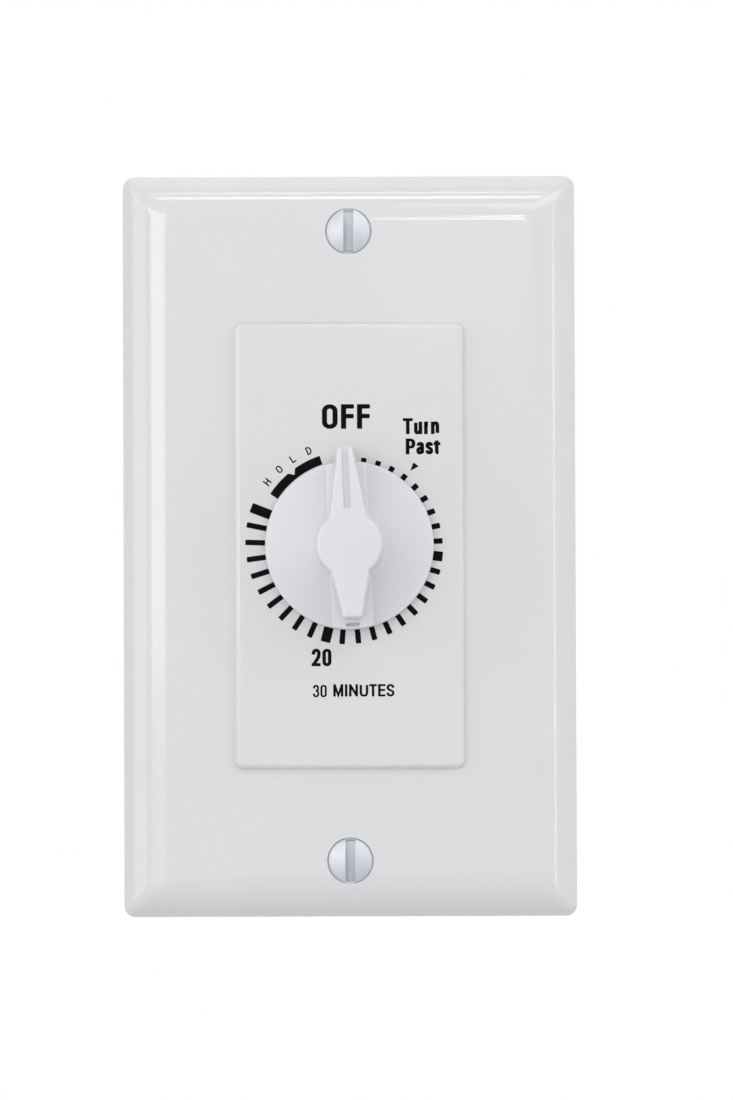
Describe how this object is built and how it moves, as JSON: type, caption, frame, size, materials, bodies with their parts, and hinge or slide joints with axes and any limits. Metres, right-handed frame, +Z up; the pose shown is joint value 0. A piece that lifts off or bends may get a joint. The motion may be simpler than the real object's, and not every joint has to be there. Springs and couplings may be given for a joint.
{
  "type": "spring wound timer light switch",
  "caption": "Spring-wound countdown wall switch with pointer knob on a one-piece wall plate, strap, clockwork movement, snap contacts and moulded housing.",
  "frame": {"origin": "on the knob's axis, in the plane of the wall", "axes": "+X right, +Z up, +Y from the room into the wall box"},
  "size_m": [0.0698, 0.0555, 0.1144],
  "materials": {
    "plate_white": "satin gloss, moulded",
    "knob_white": "satin, moulded",
    "bright_zinc": "bright zinc plated",
    "zinc_sheet": "zinc plated sheet",
    "turned_steel": "turned, oiled",
    "spring_steel": "blued strip",
    "yellow_brass": "blanked, bright",
    "terminal_brass": "plated strip",
    "housing_black": "moulded phenolic",
    "cam_nylon": "moulded nylon",
    "insulating_fibre": "vulcanised fibre",
    "washer_fibre": "fibre",
    "contact_silver": "silver alloy",
    "ground_green": "green finish"
  },
  "bodies": {
    "case": {"wall_plate": "plate_white", "wall_plate_screws": "bright_zinc", "mounting_strap": "zinc_sheet", "box_screws": "bright_zinc", "box_screw_washers": "washer_fibre", "ground_screw": "ground_green", "strap_screws": "bright_zinc", "housing": "housing_black", "housing_screws": "bright_zinc", "front_plate": "zinc_sheet", "rear_plate": "zinc_sheet", "frame_pillars": "turned_steel", "shaft_bushing": "yellow_brass", "bushing_nut": "bright_zinc", "spring_post": "turned_steel", "stop_post": "turned_steel", "mainspring": "spring_steel", "hold_spring": "spring_steel", "hold_rivet": "turned_steel", "insulator_sheet": "insulating_fibre", "line_terminal": "terminal_brass", "load_terminal": "terminal_brass", "terminal_screws": "yellow_brass", "contact_blade": "terminal_brass", "moving_contact": "contact_silver", "fixed_contact": "contact_silver", "blade_rivets": "turned_steel"},
    "dial": {"knob": "knob_white", "knob_clip": "spring_steel", "dial_shaft": "turned_steel", "stop_washer": "turned_steel", "great_wheel": "yellow_brass", "clutch_washer": "spring_steel", "clutch_ring": "turned_steel", "switch_cam": "cam_nylon"},
    "second_train": {"second_arbor": "turned_steel", "second_wheel": "yellow_brass"},
    "third_train": {"third_arbor": "turned_steel", "third_wheel": "yellow_brass"},
    "escapement_wheel": {"escape_arbor": "turned_steel", "escape_wheel": "yellow_brass"},
    "balance": {"verge_arbor": "turned_steel", "pallet_lever": "yellow_brass", "pallet_pins": "turned_steel", "balance_bar": "turned_steel"}
  },
  "joints": [
    {"name": "dial_turn", "type": "hinge", "parent": "case", "child": "dial", "pos_m": [0, 0, 0], "axis": [0, 1, 0], "range_deg": [0, 325], "stiffness_Nm_per_rad": 0.02, "springref_deg": -114.59, "deforming": ["mainspring", "contact_blade", "moving_contact"]},
    {"name": "second_turn", "type": "hinge", "parent": "case", "child": "second_train", "pos_m": [-0.006, 0.015, 0.01456], "axis": [0, 1, 0], "continuous": true},
    {"name": "third_turn", "type": "hinge", "parent": "case", "child": "third_train", "pos_m": [0.00452, 0.015, 0.01839], "axis": [0, 1, 0], "continuous": true},
    {"name": "escape_turn", "type": "hinge", "parent": "case", "child": "escapement_wheel", "pos_m": [0.01255, 0.015, 0.01277], "axis": [0, 1, 0], "continuous": true},
    {"name": "balance_swing", "type": "hinge", "parent": "case", "child": "balance", "pos_m": [0.01578, 0.015, 0.00717], "axis": [0, 1, 0], "range_deg": [-8, 8]}
  ],
  "couplings": [
    {"joint": "second_turn", "follows": "dial_turn", "ratio": -6},
    {"joint": "third_turn", "follows": "dial_turn", "ratio": 36},
    {"joint": "escape_turn", "follows": "dial_turn", "ratio": -216}
  ]
}
